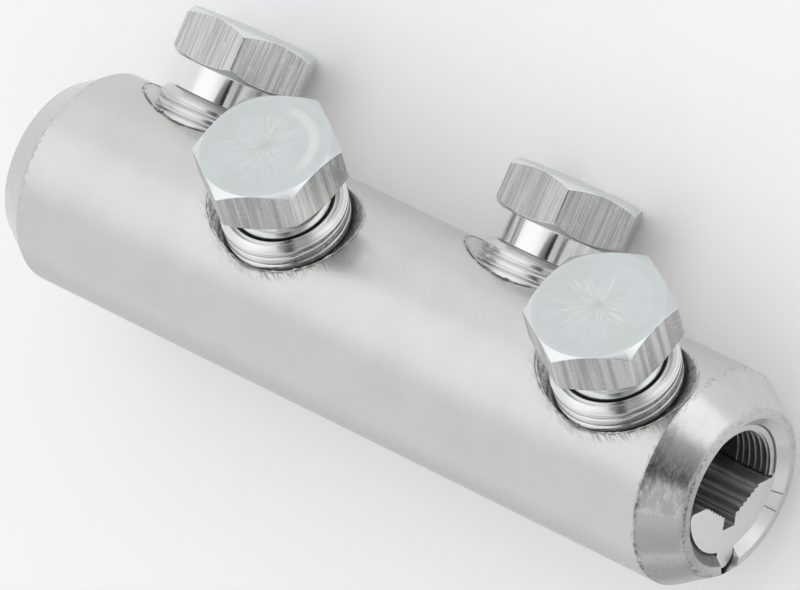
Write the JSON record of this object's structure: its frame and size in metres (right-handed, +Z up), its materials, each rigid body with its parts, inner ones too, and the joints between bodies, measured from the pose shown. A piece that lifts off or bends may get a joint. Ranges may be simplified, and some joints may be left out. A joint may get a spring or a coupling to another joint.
{
  "type": "shear bolt conductor connector",
  "caption": "Cylindrical sleeve with flared blind bores, stepped V inserts and shear-off hexagon bolts, for joining stranded conductors end to end.",
  "frame": {"origin": "middle of the connector's box, at the level of the table that it lies on", "axes": "+X along the sleeve, +Z up from the table, with the bolt heads leaning towards -Y"},
  "size_m": [0.1088, 0.0404, 0.0375],
  "materials": {
    "tinned_sleeve": "satin tin plate",
    "plain_insert": "sawn and extruded",
    "plated_bolt": "turned and plated"
  },
  "bodies": {
    "sleeve": {"sleeve": "tinned_sleeve"},
    "insert_1": {"insert_1": "plain_insert"},
    "insert_2": {"insert_2": "plain_insert"},
    "high_bolt_1": {"high_bolt_1": "plated_bolt"},
    "high_bolt_2": {"high_bolt_2": "plated_bolt"},
    "low_bolt_1": {"low_bolt_1": "plated_bolt"},
    "low_bolt_2": {"low_bolt_2": "plated_bolt"}
  },
  "joints": [
    {"name": "insert_1_slide", "type": "slide", "parent": "sleeve", "child": "insert_1", "axis": [-1, 0, 0], "range_m": [0, 0.045]},
    {"name": "insert_2_slide", "type": "slide", "parent": "sleeve", "child": "insert_2", "axis": [1, 0, 0], "range_m": [0, 0.045]},
    {"name": "high_bolt_1_travel", "type": "slide", "parent": "sleeve", "child": "high_bolt_1", "axis": [0, -0.7407, 0.6718], "range_m": [-0.0045, 0.006]},
    {"name": "high_bolt_2_travel", "type": "slide", "parent": "sleeve", "child": "high_bolt_2", "axis": [0, -0.7407, 0.6718], "range_m": [-0.0045, 0.006]},
    {"name": "low_bolt_1_travel", "type": "slide", "parent": "sleeve", "child": "low_bolt_1", "axis": [0, -0.9728, -0.2316], "range_m": [-0.0045, 0.006]},
    {"name": "low_bolt_2_travel", "type": "slide", "parent": "sleeve", "child": "low_bolt_2", "axis": [0, -0.9728, -0.2316], "range_m": [-0.0045, 0.006]}
  ]
}
